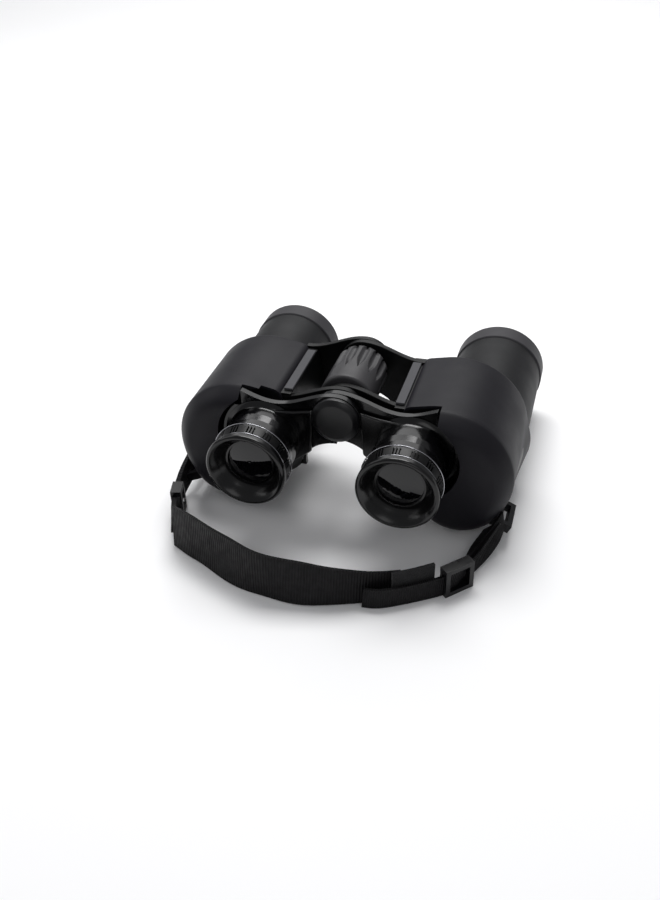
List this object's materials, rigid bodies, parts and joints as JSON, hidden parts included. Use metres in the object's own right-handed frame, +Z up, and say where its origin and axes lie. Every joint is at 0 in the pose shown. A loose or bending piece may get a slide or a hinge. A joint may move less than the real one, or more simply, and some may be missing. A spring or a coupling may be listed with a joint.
{
  "type": "binoculars",
  "caption": "Folding prism binoculars with rubber armour, centre focus knob, round eyecups and a woven neck strap",
  "frame": {"origin": "centre of the tripod socket mouth, on the hinge axis at the objective end of the hinge", "axes": "+Y runs along the hinge axis from the eyepieces towards the objectives, +X runs to the right-hand barrel as the user looks through, +Z points up from the table"},
  "size_m": [0.1691, 0.1864, 0.0725],
  "materials": {
    "armour": "soft-touch matt, fine even texture",
    "casting": "fine satin black paint",
    "grip": "matt grey with a woven texture",
    "tube_inside": "dead matt black paint",
    "sleeve": "matt dark grey",
    "ring": "matt grey with fine turned lines",
    "coated_glass": "multi-coated, polished",
    "clear_glass": "polished",
    "prism_glass": "polished, ground edges",
    "bare_alloy": "machined",
    "spring_steel": "bright",
    "moulded_black": "satin moulded",
    "gloss_black": "gloss black paint",
    "cup": "smooth satin rubber",
    "chrome": "polished",
    "knob": "matt grey, soft",
    "cap": "satin with a glossy edge",
    "brass": "turned",
    "webbing": "ribbed woven nylon",
    "patch": "brushed loop pile",
    "buckle": "moulded, slight gloss"
  },
  "bodies": {
    "left_barrel": {"left_prism_housing": "casting", "left_armour": "armour", "left_hinge_frame": "casting", "left_grip_strip": "grip", "left_objective_tube": "tube_inside", "left_tube_sleeve": "sleeve", "left_objective_ring": "ring", "left_objective_lens": "coated_glass", "left_objective_cell": "tube_inside", "left_front_prism": "prism_glass", "left_rear_prism": "prism_glass", "left_prism_shelf": "bare_alloy", "left_prism_clips": "spring_steel", "left_guide_sleeve": "bare_alloy", "left_strap_lug": "moulded_black", "hinge_tube": "bare_alloy", "tripod_bush": "spring_steel", "thrust_washers": "brass", "left_strap_tail": "webbing", "left_strap_slide": "buckle", "strap_band": "webbing"},
    "right_barrel": {"right_prism_housing": "casting", "right_armour": "armour", "right_hinge_frame": "casting", "right_grip_strip": "grip", "right_objective_tube": "tube_inside", "right_tube_sleeve": "sleeve", "right_objective_ring": "ring", "right_objective_lens": "coated_glass", "right_objective_cell": "tube_inside", "right_front_prism": "prism_glass", "right_rear_prism": "prism_glass", "right_prism_shelf": "bare_alloy", "right_prism_clips": "spring_steel", "right_guide_sleeve": "bare_alloy", "right_strap_lug": "moulded_black", "right_strap_webbing": "webbing", "right_strap_buckle": "buckle", "strap_patch": "patch"},
    "focus_knob": {"focus_knob": "knob"},
    "left_ocular": {"left_bridge_arm": "gloss_black", "left_ocular_tube": "gloss_black", "left_field_lens": "clear_glass", "left_eye_lens": "coated_glass", "left_lens_ring": "gloss_black", "left_eyecup": "cup", "left_barred_ring": "moulded_black", "left_trim_rings": "chrome", "focus_screw": "spring_steel", "bridge_cap": "cap"},
    "right_ocular": {"right_bridge_arm": "gloss_black", "right_ocular_tube": "gloss_black", "right_field_lens": "clear_glass", "right_trim_rings": "chrome"},
    "dioptre_ring": {"right_dioptre_ring": "moulded_black"},
    "right_eyecup": {"right_eyecup": "cup", "right_eye_lens": "coated_glass", "right_lens_ring": "gloss_black"}
  },
  "joints": [
    {"name": "fold", "type": "hinge", "parent": "left_barrel", "child": "right_barrel", "pos_m": [0, 0, 0], "axis": [0, 1, 0], "range_deg": [0, 42], "deforming": ["right_strap_webbing", "strap_patch", "right_strap_buckle"]},
    {"name": "focus_turn", "type": "hinge", "parent": "left_barrel", "child": "focus_knob", "pos_m": [0, 0, 0], "axis": [0, 1, 0], "range_deg": [-112.5, 281.25]},
    {"name": "left_focus", "type": "slide", "parent": "left_barrel", "child": "left_ocular", "axis": [0, -1, 0], "range_m": [-0.00215, 0.0053]},
    {"name": "right_focus", "type": "slide", "parent": "right_barrel", "child": "right_ocular", "axis": [0, -1, 0], "range_m": [-0.00215, 0.0053]},
    {"name": "dioptre_turn", "type": "hinge", "parent": "right_ocular", "child": "dioptre_ring", "pos_m": [0.0351, -0.079, -0.0154], "axis": [0, 1, 0], "range_deg": [-60, 60]},
    {"name": "dioptre_focus", "type": "slide", "parent": "right_ocular", "child": "right_eyecup", "axis": [0, -1, 0], "range_m": [-0.0005, 0.0005]}
  ],
  "couplings": [
    {"joint": "left_focus", "follows": "focus_turn", "m_per_rad": 0.0010186},
    {"joint": "right_focus", "follows": "focus_turn", "m_per_rad": 0.0010186},
    {"joint": "dioptre_focus", "follows": "dioptre_turn", "m_per_rad": 0.00047746}
  ]
}
